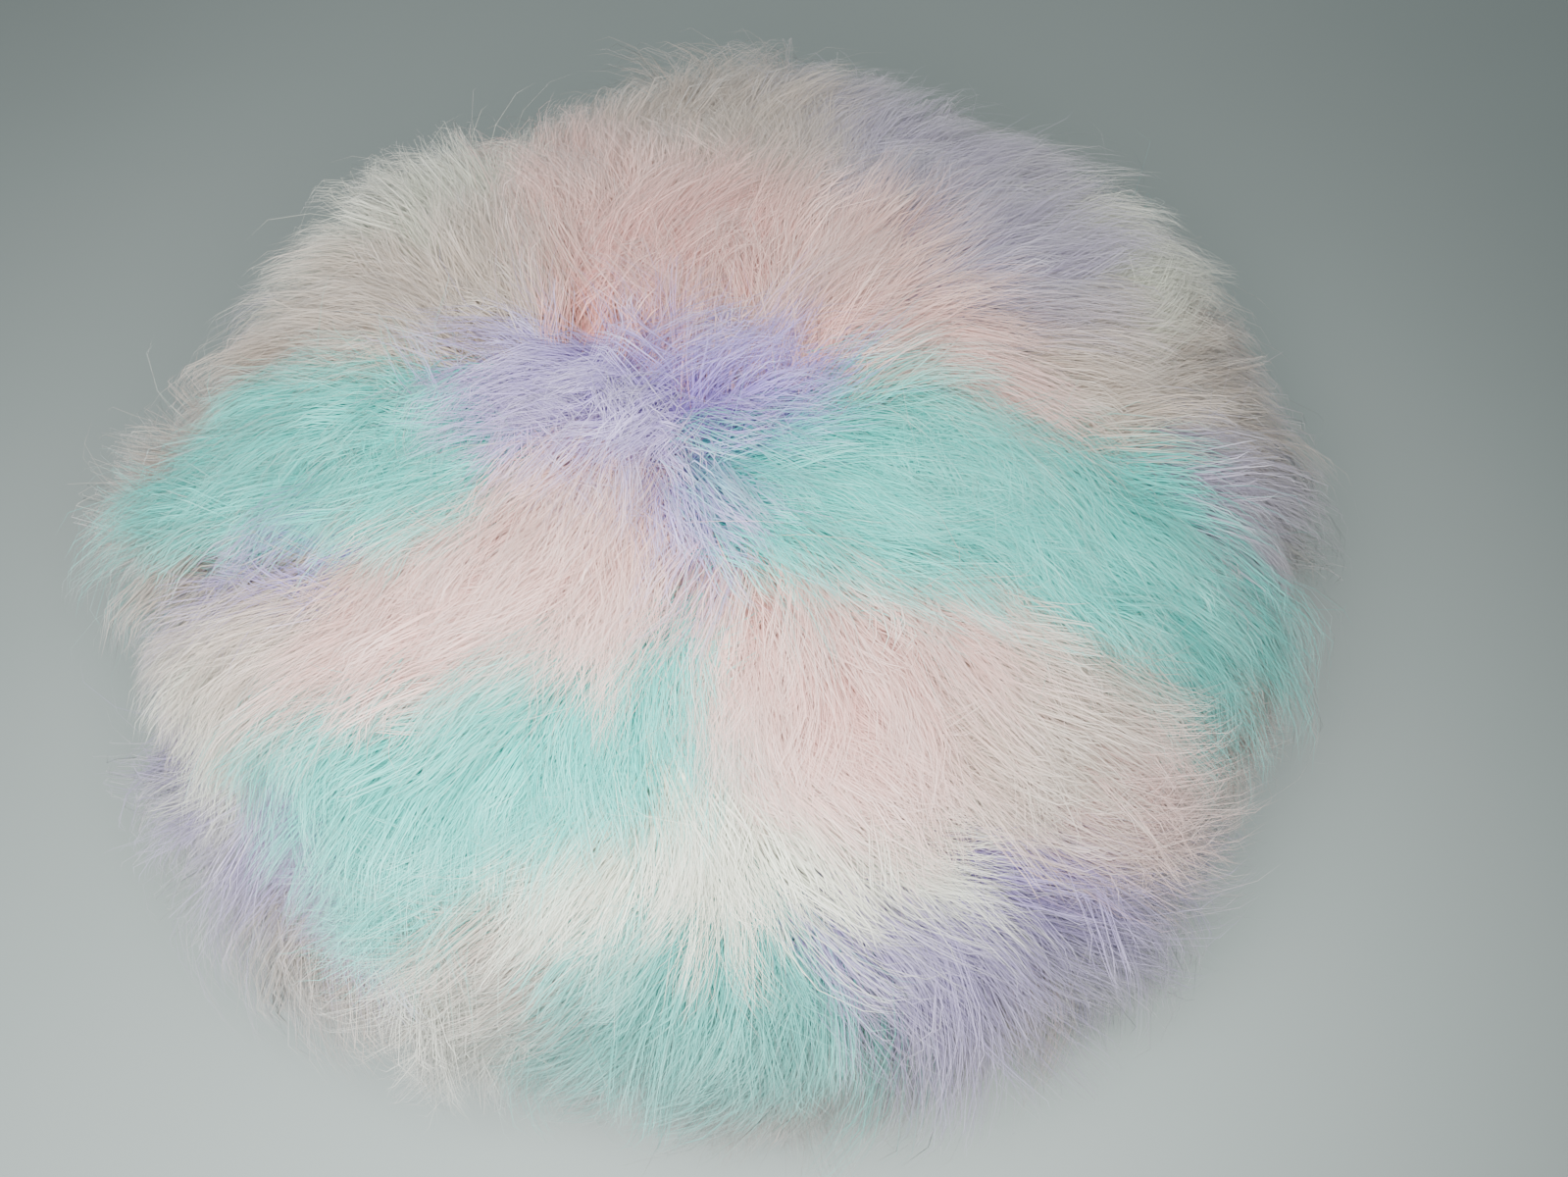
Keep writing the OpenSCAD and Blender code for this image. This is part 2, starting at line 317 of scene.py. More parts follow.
# the fur falls away from this line over the crown
RIDGE = ((-0.24, -0.06), (-0.08, -0.07), (0.03, -0.10), (0.13, -0.13))
RIDGE_SOFT, CREST = 0.08, 0.075
WHORL_AT, WHORL_SIZE, WHORL_STRENGTH = (0.24, -0.71), 0.07, 0.8
CURRENTS = (
    # u, v, size, and the way the fur sweeps there
    (0.22, -0.58, 0.10, 2.6, -0.2), (0.38, -0.58, 0.09, 2.0, -0.4), (-0.06, -0.64, 0.10, -2.6, -0.2),
    (-0.20, -0.70, 0.10, -2.0, -0.3), (-0.16, -0.84, 0.13, -2.8, -0.2), (0.14, -0.76, 0.06, 0.1, -1.6),
    (0.46, -0.76, 0.11, 2.2, -0.1), (-0.10, -0.46, 0.10, -0.5, -0.9), (-0.34, -0.42, 0.12, -0.7, -0.5),
    (-0.20, -0.26, 0.09, -0.8, -0.3), (0.16, -0.36, 0.10, 0.3, -1.0), (0.40, -0.38, 0.12, 0.9, -0.5),
    (0.24, -0.20, 0.09, 1.0, -0.2), (0.34, -0.04, 0.10, 1.0, 0.3), (-0.30, 0.02, 0.10, -1.0, 0.2),
    (0.05, 0.06, 0.08, 0.5, 0.8), (-0.12, 0.10, 0.09, -0.6, 0.8),
)
PARTINGS = (
    # from, to, half width, strength
    ((-0.27, -0.25), (-0.62, -0.19), 0.048, 1.25),
    ((0.17, -0.34), (0.14, -0.57), 0.035, 0.5),
    ((0.22, -0.72), (0.27, -1.10), 0.035, 0.9),
    ((0.50, -0.60), (0.75, -0.72), 0.04, 0.6),
    ((-0.42, 0.05), (-0.70, 0.20), 0.04, 0.5),
)
WIDE_SWIRL, FINE_SWIRL, CREST_SWIRL = waves(21, 0.45), waves(22, 0.16), waves(24, 0.11)
LUMPS = waves(23, 0.34)


def turned(d, angle):
    """Directions in the plane, turned by an angle."""
    c, q = np.cos(angle), np.sin(angle)
    return np.stack([d[:, 0] * c - d[:, 1] * q, d[:, 0] * q + d[:, 1] * c], -1)


def away_from_line(uv, a, b):
    a, b = np.array(a), np.array(b)
    length = np.linalg.norm(b - a)
    along = (b - a) / length
    t = np.clip((uv - a) @ along, 0, length)
    return uv - (a + t[:, None] * along)


def flow(uv):
    """The fur's direction in the (u, v) plane, how open it is (1 in the middle of a parting), and
    how near it is to the ridge at the crown, where it stands up."""
    r = np.linalg.norm(uv, axis=-1)
    w = smooth(0.20, 0.95, r)[:, None]
    away, crest = np.zeros_like(uv), np.zeros(len(uv))
    for a, b in zip(RIDGE, RIDGE[1:]):
        for t in (0.0, 0.25, 0.5, 0.75):
            step = uv - (np.array(a) * (1 - t) + np.array(b) * t)
            far = (step**2).sum(-1)
            away += step / (far + RIDGE_SOFT**2)[:, None] ** 1.5
            crest = np.maximum(crest, np.exp(-far / CREST**2))
    d = unit(away) * (1 - w) + unit(uv) * w
    away = uv - np.array(WHORL_AT)
    d += WHORL_STRENGTH * np.exp(-(away**2).sum(-1) / WHORL_SIZE**2)[:, None] * unit(away)
    for u, v, size, du, dv in CURRENTS:
        near = np.exp(-((uv - np.array([u, v])) ** 2).sum(-1) / size**2)
        d += near[:, None] * np.array([du, dv])
    open_to = np.zeros(len(uv))
    for start, end, half, strength in PARTINGS:
        away = away_from_line(uv, start, end)
        near = np.exp(-(away**2).sum(-1) / half**2)
        d += (strength * near)[:, None] * unit(away)
        open_to = np.maximum(open_to, strength * np.exp(-(away**2).sum(-1) / (0.4 * half) ** 2))
    turn = 0.34 * WIDE_SWIRL(uv) + 0.26 * FINE_SWIRL(uv) + 1.2 * crest * CREST_SWIRL(uv)
    return turned(unit(d), turn), open_to, crest


# ---- The cover, puffed up between its seams ----

RINGS, COLS = 59, 96
GRID_S = np.linspace(0, 2, RINGS + 2)[1:-1]
GRID_AZ = SEAM_TURN + TAU * np.arange(COLS) / COLS
EACH_S, EACH_AZ = (x.ravel() for x in np.meshgrid(GRID_S, GRID_AZ, indexing="ij"))
START_SIZE, PRESSURE, FRAMES = 0.985, 3.0, 20
COVER_CAP, CASE_CAP = 0.008, 0.006


def poles(inset):
    return surface(np.array([0.0, 2.0]), np.zeros(2), inset)


def closed_faces():
    """The faces of a closed form, whose points are RINGS rings and then two poles."""
    j = np.arange(COLS)
    k = (j + 1) % COLS
    quads = [np.stack([i * COLS + j, (i + 1) * COLS + j, (i + 1) * COLS + k, i * COLS + k], -1)
             for i in range(RINGS - 1)]
    last, top, low = (RINGS - 1) * COLS, RINGS * COLS, RINGS * COLS + 1
    cap, base = [np.full(COLS, top), j, k], [np.full(COLS, low), last + k, last + j]
    return [np.concatenate(quads), np.concatenate([np.stack(cap, -1), np.stack(base, -1)])]


def puff(inset, cap, held, wrinkle):
    """How far a closed form of cloth moves when it is filled, as (rings, COLS, 3), held along its seams.

    It starts a little smaller than its shape, and no point ends further than `cap` from it."""
    full = np.concatenate([surface(EACH_S, EACH_AZ, inset), poles(inset)])
    start = CENTRE + (full - CENTRE) * START_SIZE
    sides = RINGS * COLS
    ripple = wrinkle * np.sin(EACH_AZ * 23 + 3 * np.sin(EACH_AZ * 5))
    start[:sides, 2] += ripple * np.exp(-((EACH_S - 1) / 0.12) ** 2)
    work = make_object("work_cloth", start, closed_faces())
    pins = work.vertex_groups.new(name="pins")
    pins.add([int(i) for i in np.flatnonzero(held(EACH_S, EACH_AZ))], 1.0, "REPLACE")
    cloth = work.modifiers.new("cloth", "CLOTH")
    cloth.settings.use_pressure = True
    cloth.settings.uniform_pressure_force = PRESSURE
    cloth.settings.effector_weights.gravity = 0
    cloth.settings.quality = 6
    cloth.settings.mass = 0.3
    cloth.settings.tension_stiffness = cloth.settings.compression_stiffness = 12
    cloth.settings.bending_stiffness = 0.4
    cloth.settings.vertex_group_mass = "pins"
    cloth.collision_settings.use_collision = False
    for step in range(FRAMES):
        SCENE.frame_set(1 + step)
    mesh = work.evaluated_get(bpy.context.evaluated_depsgraph_get()).data
    filled = np.zeros(len(full) * 3)
    mesh.vertices.foreach_get("co", filled)
    SCENE.frame_set(1)
    bpy.data.objects.remove(work)
    move = filled.reshape(-1, 3) - full
    far = np.linalg.norm(move, axis=-1, keepdims=True)
    move *= np.minimum(1, cap / np.maximum(far, 1e-9))
    return move[:sides].reshape(RINGS, COLS, 3)


def on_seam(s, az):
    gore = (az - SEAM_TURN) / (math.pi / 2)
    return (np.abs(gore - np.round(gore)) < 0.004) | (np.abs(s - 1) < 0.02) | (s > 1.6)


def on_case_seam(s, az):
    return (np.abs(s - 1) < 0.02) | (s > 1.65)


COVER_MOVE = puff(0, COVER_CAP, on_seam, wrinkle=0.0)
CASE_MOVE = puff(0.0125, CASE_CAP, on_case_seam, wrinkle=0.0012)


def moved(table, s, az):
    """The move at any (s, azimuth), between the grid's own points."""
    fi = np.clip((s - GRID_S[0]) / (GRID_S[1] - GRID_S[0]), 0, RINGS - 1.001)
    fj = ((az - SEAM_TURN) / TAU % 1) * COLS
    i, j = fi.astype(int), fj.astype(int) % COLS
    a, b = (fi - i)[..., None], (fj - np.floor(fj))[..., None]
    k = (j + 1) % COLS
    return ((table[i, j] * (1 - b) + table[i, k] * b) * (1 - a)
            + (table[i + 1, j] * (1 - b) + table[i + 1, k] * b) * a)


def zip_side(s, az):
    """1 on the arc of the rim where the zip lies, and its cloth keeps its place."""
    first, last = ZIP_ARC
    arc = smooth(first - 0.15, first, az % TAU) * (1 - smooth(last, last + 0.15, az % TAU))
    return arc * np.exp(-((s - 1) / 0.14) ** 2)


def cover(s, az, inset=0.0):
    """The puffed cover, which is flat where it rests."""
    p = surface(s, az, inset) + moved(COVER_MOVE, s, az) * (1 - zip_side(s, az))[..., None]
    p[..., 2] = np.maximum(p[..., 2], RIM_Z - COVER_CUT + inset)
    return p


# ---- Strands ----

# where along a strand its rings of corners are, from the root (0) to the tip (1)
LONG_RINGS, SHORT_RINGS = np.array([0.0, 0.27, 0.55, 0.80]), np.array([0.0, 0.40, 0.75])
SIDES = 3                                    # corners in a ring
ATLAS_ROWS = 56                              # each strand has its own cell of the UV map
CELL_FROM, CELL_SPAN = (0.2, 0.04), (0.6, 0.92)
OUTER_LIMIT, TOP_LIMIT, FLOOR_LIMIT = 0.302, 0.334, 0.0016
CLOSE_R, TUNNEL_BACK = 0.263, 0.19           # the mouth and the back of the zip's tunnel
TUNNEL_HALF = ZIP_HALF + 0.002
TUNNEL_FROM, TUNNEL_TO = ZIP_ARC[0] - 0.02, ZIP_ARC[1] + 0.02
PILE_RIM, PILE_TOP = 0.050, 0.030            # the pile's depth at the rim and at the crown
TUFTS, TUFT_SPREAD, HAIR_SPREAD = 5, 0.0052, 0.0032   # each lock holds a few finer tufts
ROUNDING = 55.0                              # how rounded a lock looks, per metre from its middle
GOLDEN_TURN = 0.381966
COURSE_STEPS = 4                             # steps of a strand's course between two rings
COURSE_FLOOR = 0.0022
SHEAF_COUNT, SHEAF_REACH, SHEAF_SEED = 230, 1.7, 77


def push_out(p, height):
    """Moves points that are nearer the cover than `height` out to it."""
    q = p - CENTRE
    across = np.hypot(q[..., 0], q[..., 1]) / (COVER_R + height)
    high = np.where(q[..., 2] > 0, COVER_TOP, COVER_CUT * BELLY) + height
    f = (across ** FULLNESS + (np.abs(q[..., 2]) / high) ** FULLNESS) ** (1 / FULLNESS)
    scale = np.where(f < 1, 1 / np.maximum(f, 1e-6), 1.0)
    return q * scale[..., None] + CENTRE


def keep_in(p):
    """Keeps points on the floor, in the CAD's box and out of the zip's tunnel."""
    r = np.hypot(p[..., 0], p[..., 1])
    p[..., 2] = np.clip(p[..., 2], FLOOR_LIMIT, TOP_LIMIT)
    scale = np.minimum(1, OUTER_LIMIT / np.maximum(r, 1e-6))
    p[..., :2] *= scale[..., None]
    r = r * scale
    az = np.arctan2(p[..., 1], p[..., 0]) % TAU
    tunnel = ((az > TUNNEL_FROM) & (az < TUNNEL_TO) & (r > TUNNEL_BACK) & (r < CLOSE_R)
              & (np.abs(p[..., 2] - RIM_Z) < TUNNEL_HALF))
    p[..., :2] *= np.where(tunnel, CLOSE_R / np.maximum(r, 1e-6), 1.0)[..., None]
    return p


def clear_tunnel(points):
    """Where a strand would cross the zip's tunnel, its points move out past the tunnel's mouth. Next to
    its root it stays on its own side instead."""
    for i in range(1, points.shape[1]):
        a, b = points[:, i - 1], points[:, i]
        az = np.arctan2(b[:, 1], b[:, 0]) % TAU
        from_z, to_z = a[:, 2] - RIM_Z, b[:, 2] - RIM_Z
        t = np.abs(from_z) / np.maximum(np.abs(from_z) + np.abs(to_z), 1e-6)
        middle = a + (b - a) * t[:, None]
        crosses = (from_z * to_z < 0) & (az > TUNNEL_FROM) & (az < TUNNEL_TO + 0.04)
        crosses &= np.hypot(middle[:, 0], middle[:, 1]) < CLOSE_R
        rooted = crosses & (i == 1) & (np.abs(from_z) > TUNNEL_HALF)
        points[rooted, i, 2] = RIM_Z + np.sign(from_z[rooted]) * (TUNNEL_HALF + 0.0005)
        for k in (i - 1, i):
            r = np.hypot(points[:, k, 0], points[:, k, 1])
            push = np.where(crosses & ~rooted, np.maximum(CLOSE_R / r, 1), 1.0)
            points[:, k, :2] *= push[:, None]
    return points


def lock_roots(count, low, high, seed):
    """Roots of locks, spread a little unevenly between two values of s, on a golden-angle spiral."""
    rng = np.random.default_rng(seed)
    s = np.linspace(low, high, 4000)
    r, z = profile(s)
    bands = (r[1:] + r[:-1]) / 2 * np.hypot(np.diff(r), np.diff(z))
    area = np.concatenate([[0], np.cumsum(bands)])
    share = (np.arange(count) + rng.uniform(0.1, 0.9, count)) / count
    at = np.interp(share, area / area[-1], s)
    az = (np.arange(count) * TAU * GOLDEN_TURN + rng.normal(0, 0.02, count)) % TAU
    return at, az


def sheaves():
    """The big sheaves of locks: where each stands in the (u, v) plane, and how much it draws its locks
    together, turns, lifts, lengthens, thickens and bows them."""
    rng = np.random.default_rng(SHEAF_SEED)
    n = SHEAF_COUNT
    roots = on_plane(*lock_roots(n, 0.0, SHEAF_REACH, SHEAF_SEED + 1))
    return {
        "at": roots + rng.normal(0, 0.012, roots.shape),
        "pull": rng.uniform(0.05, 0.60, n),
        "turn": rng.normal(0, 0.20, n),
        "lift": rng.normal(0, 0.11, n),
        "length": rng.uniform(0.84, 1.14, n),
        "depth": rng.uniform(0.72, 1.16, n),
        "bow": rng.normal(0, 0.40, n),
    }


SHEAF = sheaves()
FULLER = (
    # u, v, size, and how much fuller the pile is there
    (0.70, -0.74, 0.26, 0.50), (0.26, -1.02, 0.15, 0.80), (-0.36, -0.98, 0.28, -0.30),
    (-0.88, -0.48, 0.20, -0.12), (-0.75, 0.40, 0.25, 0.20), (0.00, 0.50, 0.35, 0.30),
    (0.45, 0.45, 0.30, 0.25),
)


def fullness(uv):
    return sum(gain * np.exp(-((uv - np.array([u, v])) ** 2).sum(-1) / size**2)
               for u, v, size, gain in FULLER)


def sheaf_of(uv):
    """The sheaf nearest to each (u, v)."""
    best, which = np.full(len(uv), 1e9), np.zeros(len(uv), int)
    for i, (a, b) in enumerate(SHEAF["at"]):
        far = (uv[:, 0] - a) ** 2 + (uv[:, 1] - b) ** 2
        nearer = far < best
        best[nearer], which[nearer] = far[nearer], i
    return which


def grow(seed, count, per_lock, span, rings, length, width, lift, depth_share, fly, frosting, tuck, vary,
         soft):
    """All the strands of one layer, as arrays for build_strands.

    count locks of per_lock strands stand between the two values of s in span. lift is how steeply
    they rise, depth_share how far out they lie, fly the share of loose strands, frosting how pale
    the tips are, tuck how much tufts draw together, vary how much painted light and shade differs between
    locks and between strands, and soft how far their shading follows the lock instead of the strand."""
    at = np.append(rings, 1.0)
    rng = np.random.default_rng(seed)
    s0, az0 = lock_roots(count, *span, seed + 1)
    uv0 = on_plane(s0, az0)
    n = count * per_lock
    lock = np.repeat(np.arange(count), per_lock)
    tuft = lock * TUFTS + rng.integers(0, TUFTS, n)
    tuft_off = rng.normal(0, TUFT_SPREAD, (count * TUFTS, 2))
    hair_off = rng.normal(0, HAIR_SPREAD, (n, 2))

    # where each strand grows
    offset = tuft_off[tuft] + hair_off
    _, downhill, side = outward(s0[lock], az0[lock])
    uv = to_uv(surface(s0[lock], az0[lock]) + offset[:, :1] * downhill + offset[:, 1:] * side)
    s = np.clip(np.linalg.norm(uv, axis=-1), 0.002, 1.995)
    az = np.arctan2(uv[:, 1], uv[:, 0]) % TAU
    root = cover(s, az, 0.0012)
    normal, downhill, side = outward(s, az)

    # which way it lies: the lock's own way, with a little of each strand's
    way, opened, crest = flow(uv0)
    sheaf = sheaf_of(uv0)
    lock_turn = (rng.normal(0, 0.24, count) + SHEAF["turn"][sheaf]) * (1 + 2.6 * crest)
    tuft_turn = rng.normal(0, 0.13, count * TUFTS)
    turn = lock_turn[lock] + tuft_turn[tuft] + rng.normal(0, 0.09, n)
    loose = rng.random(n) < fly * (1 + 2.5 * crest[lock])
    turn = turn + loose * rng.normal(0, 0.7, n)
    d2 = turned(way[lock], turn)
    radial = np.stack([np.cos(az), np.sin(az)], -1)
    d_r = (d2 * radial).sum(-1)
    d_a = d2[:, 1] * radial[:, 0] - d2[:, 0] * radial[:, 1]
    d = unit(d_r[:, None] * downhill + d_a[:, None] * side)

    lock_lift = rng.normal(lift, 0.13, count) + 0.32 * crest + SHEAF["lift"][sheaf]
    up = lock_lift[lock] + rng.normal(0, 0.10, n) + loose * rng.uniform(0.0, 0.45, n)
    lock_len = length * rng.uniform(0.82, 1.12, count) * np.where(rng.random(count) < 0.06, 1.15, 1.0)
    lock_len = lock_len * SHEAF["length"][sheaf] * (1 + 0.6 * fullness(uv0))
    long = lock_len[lock] * rng.uniform(0.78, 1.06, n) * (1 + 0.12 * smooth(0.4, 0.9, s))
    lock_share = np.clip(rng.normal(depth_share, 0.16, count), 0.25, 1.1) * SHEAF["depth"][sheaf]
    lock_share = lock_share * (1 + 0.24 * np.clip(LUMPS(uv0), -1.2, 1.2) + fullness(uv0))
    share = lock_share[lock] * rng.uniform(0.70, 1.12, n)
    share = share * (1 - 0.75 * opened[lock])
    depth = np.where(s < 1, PILE_TOP + (PILE_RIM - PILE_TOP) * smooth(0.2, 0.95, s),
                     PILE_RIM * (1 - 0.8 * smooth(1.05, 1.5, s)))

    # the course of a strand: it rises, lies over and then hangs
    a = np.cos(up)[:, None] * d + np.sin(up)[:, None] * normal
    lay = unit(d - 0.10 * normal)
    out = unit(np.stack([np.cos(az), np.sin(az), np.zeros(n)], -1))
    hang = unit(0.60 * out + 0.25 * d + np.array([0, 0, -0.75]))
    over = smooth(0.92, 1.2, s)[:, None]
    b = unit(lay * (1 - over) + hang * over + np.array([0, 0, -0.12]) * smooth(0.3, 0.9, s)[:, None])
    steps = len(at)
    points = np.zeros((n, steps, 3))
    points[:, 0] = root
    curl = rng.normal(0, 0.0034, count)[lock] + rng.normal(0, 0.0012, n)
    bend_phase = rng.uniform(0, TAU, count)[lock]
    across = np.cross(normal, d)
    bow = (rng.normal(0, 0.35, count) + SHEAF["bow"][sheaf])[lock] + rng.normal(0, 0.08, n)
    p = root.copy()
    for i in range(1, steps):
        for k in range(COURSE_STEPS):
            t = at[i - 1] + (at[i] - at[i - 1]) * (k + 0.5) / COURSE_STEPS
            w = t ** 0.8
            direction = unit(a * (1 - w) + b * w + across * (bow * t)[:, None])
            p = p + direction * (long * (at[i] - at[i - 1]) / COURSE_STEPS)[:, None]
            rise = depth * share * np.sin(min(1.0, t * 1.15) * math.pi / 2)
            p = push_out(p, rise)
            p[:, 2] = np.maximum(p[:, 2], COURSE_FLOOR)
        points[:, i] = p
    wobble = np.sin(at[None, :] * 4.2 + bend_phase[:, None]) - np.sin(bend_phase)[:, None]
    points += (curl[:, None] * wobble * at[None, :])[..., None] * across[:, None, :]

    # locks and tufts draw together towards their tips
    def draw(group, groups, pull):
        size = np.maximum(np.bincount(group, minlength=groups), 1)
        mean = np.stack([np.stack([
            np.bincount(group, weights=points[:, i, k], minlength=groups) / size for k in range(3)
        ], -1) for i in range(steps)], 1)
        amount = (pull[group] * ~loose)[:, None] * at[None, :] ** 1.3
        return points + (mean[group] - points) * amount[..., None]

    points = draw(sheaf[lock], len(SHEAF["at"]), tuck * SHEAF["pull"])
    points = draw(lock, count, tuck * rng.uniform(0.3, 0.9, count))
    points = draw(tuft, count * TUFTS, tuck * rng.uniform(0.1, 0.8, count * TUFTS))
    points += rng.normal(0, 0.0009, points.shape) * (at * 1.3)[None, :, None]
    points[:, 0] = root
    points = keep_in(clear_tunnel(points))

    # colours, from where the outer half lies: paler at the tip; with painted shade, darker towards the root
    # and low in the pile, and duller and darker towards the rim and under it
    lies = to_uv(points[:, 2])
    centre = np.stack([np.bincount(lock, weights=lies[:, k], minlength=count) / per_lock
                       for k in range(2)], -1)
    seat = 0.6 * centre[lock] + 0.4 * lies + rng.normal(0, 0.012, (n, 2))
    root_tone, tip_tone = patch_colour(seat)
    # painted light and shade that differs from lock to lock and from strand to strand
    lock_light = rng.normal(0, vary, count)[lock] + rng.normal(0, 0.6 * vary, n)
    frost = np.clip(rng.beta(0.7, 1.5, n) + frosting, 0, 1)
    t = at[None, :, None]
    # strands low in the pile take more of the root colour and less frost, and painted shade darkens them
    deep_tone_and_shade = smooth(1.15, 0.55, share / np.maximum(lock_share[lock], 1e-3))[:, None, None]
    mix = smooth(0.05, 0.75, t) * (1 - 0.55 * deep_tone_and_shade)
    tint = root_tone[:, None] * (1 - mix) + tip_tone[:, None] * mix
    frosted = (frost[:, None] * smooth(0.45, 1.0, at)[None, :])[..., None]
    frosted = frosted * (0.50 - 0.30 * deep_tone_and_shade)
    tint = tint * (1 - frosted) + FROST * frosted
    # painted shade: towards the rim the pile is greyed and darkened, as if it lay in shade
    rim_shade = (smooth(0.45, 1.0, s) * (1 - 0.4 * smooth(1.05, 1.45, s)))[:, None, None]
    # painted shade: a further greying and darkening of the hair at and under the rim
    under_rim_shade = smooth(0.88, 1.12, s)[:, None, None]
    tint = tint + (tint.mean(-1, keepdims=True) - tint) * (0.36 * rim_shade + 0.20 * under_rim_shade)
    # painted shade: each strand is darker towards its root
    shade = (1 + lock_light)[:, None, None] * (0.78 + 0.22 * smooth(0.0, 0.5, t))
    shade = shade * (1 - 0.33 * rim_shade) * (1 - 0.24 * under_rim_shade) * (1 - 0.10 * deep_tone_and_shade)
    tint = np.clip(tint * shade, 0.02, 0.96)
    thick = width * rng.uniform(0.75, 1.2, n) * np.where(loose, 0.7, 1.0)
    rounded = unit(normal + ROUNDING * (offset[:, :1] * downhill + offset[:, 1:] * side))
    return {"points": points, "tint": tint, "thick": thick, "normal": rounded,
            "az": az0[lock], "lock": lock, "rings": rings, "soft": soft}


def build_strands(name, hair, chosen, material):
    """One object of the chosen strands: closed, three-sided and tapered, each in its own UV cell."""
    chosen = chosen[np.lexsort((hair["az"][chosen], hair["lock"][chosen]))]
    pts, tint, thick, normal = (hair[key][chosen] for key in ("points", "tint", "thick", "normal"))
    rings, n = hair["rings"], len(chosen)
    along = np.zeros_like(pts)
    along[:, 1:-1] = pts[:, 2:] - pts[:, :-2]
    along[:, 0] = pts[:, 1] - pts[:, 0]
    along[:, -1] = pts[:, -1] - pts[:, -2]
    along = unit(along)
    side = unit(np.cross(along, normal[:, None, :]) + 1e-5)
    up = np.cross(side, along)
    half = thick[:, None] / 2 * np.interp(rings, [0, 0.3, 0.8], [0.8, 1.0, 0.55])[None, :]
    per = len(rings) * SIDES + 1
    verts, tints, shading = (np.zeros((n, per, 3), np.float32) for _ in range(3))
    for j in range(SIDES):
        angle = TAU * j / SIDES
        arm = math.cos(angle) * side[:, :-1] + math.sin(angle) * up[:, :-1]
        verts[:, j:-1:SIDES] = pts[:, :-1] + arm * half[..., None]
        tints[:, j:-1:SIDES] = tint[:, :-1]
        shading[:, j:-1:SIDES] = (1 - hair["soft"]) * arm
    verts[:, -1], tints[:, -1] = pts[:, -1], tint[:, -1]
    shading += hair["soft"] * normal[:, None, :]

    quads, quad_uv, tris, tri_uv = [], [], [], []
    across = (0.0, 0.5, 1.0)
    last = (len(rings) - 1) * SIDES
    for i in range(len(rings) - 1):
        for j in range(SIDES):
            k = (j + 1) % SIDES
            quads.append([i * SIDES + j, (i + 1) * SIDES + j, (i + 1) * SIDES + k, i * SIDES + k])
            a, b = across[j], across[k]
            quad_uv.append([(a, rings[i]), (a, rings[i + 1]), (b, rings[i + 1]), (b, rings[i])])
    for j in range(SIDES):
        k = (j + 1) % SIDES
        tris.append([last + j, per - 1, last + k])
        tri_uv.append([(across[j], rings[-1]), (0.5, 1.0), (across[k], rings[-1])])
    tris.append([0, 1, 2])
    tri_uv.append([(x, 0.0) for x in across])
    base = (np.arange(n) * per)[:, None, None]
    quads, tris = np.array(quads)[None] + base, np.array(tris)[None] + base
    columns = -(-n // ATLAS_ROWS)
    cell = np.stack([np.arange(n) % columns, np.arange(n) // columns], -1).astype(float)

    def in_cells(uv):
        inside = np.array(CELL_FROM) + np.array(CELL_SPAN) * np.array(uv, float)
        return ((cell[:, None, None, :] + inside[None]) / np.array([columns, ATLAS_ROWS])).reshape(-1, 2)

    made = make_object(name, verts.reshape(-1, 3), [quads.reshape(-1, 4), tris.reshape(-1, 3)], material,
                       tints.reshape(-1, 3), np.concatenate([in_cells(quad_uv), in_cells(tri_uv)]))
    layer = made.data.attributes.new("custom_normal", "FLOAT_VECTOR", "POINT")
    layer.data.foreach_set("vector", unit(shading).astype(np.float32).ravel())
    return made


# ---- Materials ----


def socket(sockets, key):
    """A socket by its name, with _ for a space, or by its number."""
    return sockets[int(key) if key.isdigit() else key.replace("_", " ")]


def add(nodes, kind, **values):
    """A shader node. A value is one of the node's own settings, or else one of its inputs."""
    node = nodes.new("ShaderNode" + kind)
    for key, value in values.items():
        if hasattr(node, key):
            setattr(node, key, value)
        else:
            socket(node.inputs, key).default_value = value
    return node


def make_material(name, nodes, links, **values):
    """A node material. nodes holds (kind, settings) by name, each line of links joins an output to an
    input, and values are set on the shader itself."""
    m = bpy.data.materials.new(name)
    m.use_nodes = True
    tree = m.node_tree
    made = {"shader": next(x for x in tree.nodes if x.type == "BSDF_PRINCIPLED")}
    for key, (kind, settings) in nodes.items():
        made[key] = add(tree.nodes, kind, **settings)
    for line in links.strip().splitlines():
        (source, out), (target, into) = (end.strip().split(".") for end in line.split(">"))
        tree.links.new(socket(made[source].outputs, out), socket(made[target].inputs, into))
    for key, value in values.items():
        socket(made["shader"].inputs, key).default_value = value
    return m


def mix_of(dark, light):
    """A mix between two sRGB colours."""
    return "Mix", {"data_type": "RGBA", "6": (*linear(*dark), 1), "7": (*linear(*light), 1)}


def fur_material(name, rough_low, rough_high):
    return make_material(name, {
        "tint": ("Attribute", {"attribute_name": "tint"}),
        "coord": ("TexCoord", {}),
        "fleck": ("TexNoise", {"Scale": 140.0, "Detail": 2.0}),
        "vary": ("MapRange", {"To_Min": 0.90, "To_Max": 1.08}),
        "scale": ("VectorMath", {"operation": "SCALE"}),
        "gloss": ("MapRange", {"To_Min": rough_low, "To_Max": rough_high}),
    }, """
        coord.Object > fleck.Vector
        fleck.Fac > vary.Value
        tint.Color > scale.0
        vary.Result > scale.Scale
        scale.Vector > shader.Base Color
        fleck.Fac > gloss.Value
        gloss.Result > shader.Roughness
    """, Specular_IOR_Level=0.35, Sheen_Weight=0.35, Sheen_Roughness=0.4)


FUR = fur_material("fur_guard", 0.36, 0.52)
UNDERFUR = fur_material("fur_under", 0.55, 0.75)

# ---- Grow the fur ----

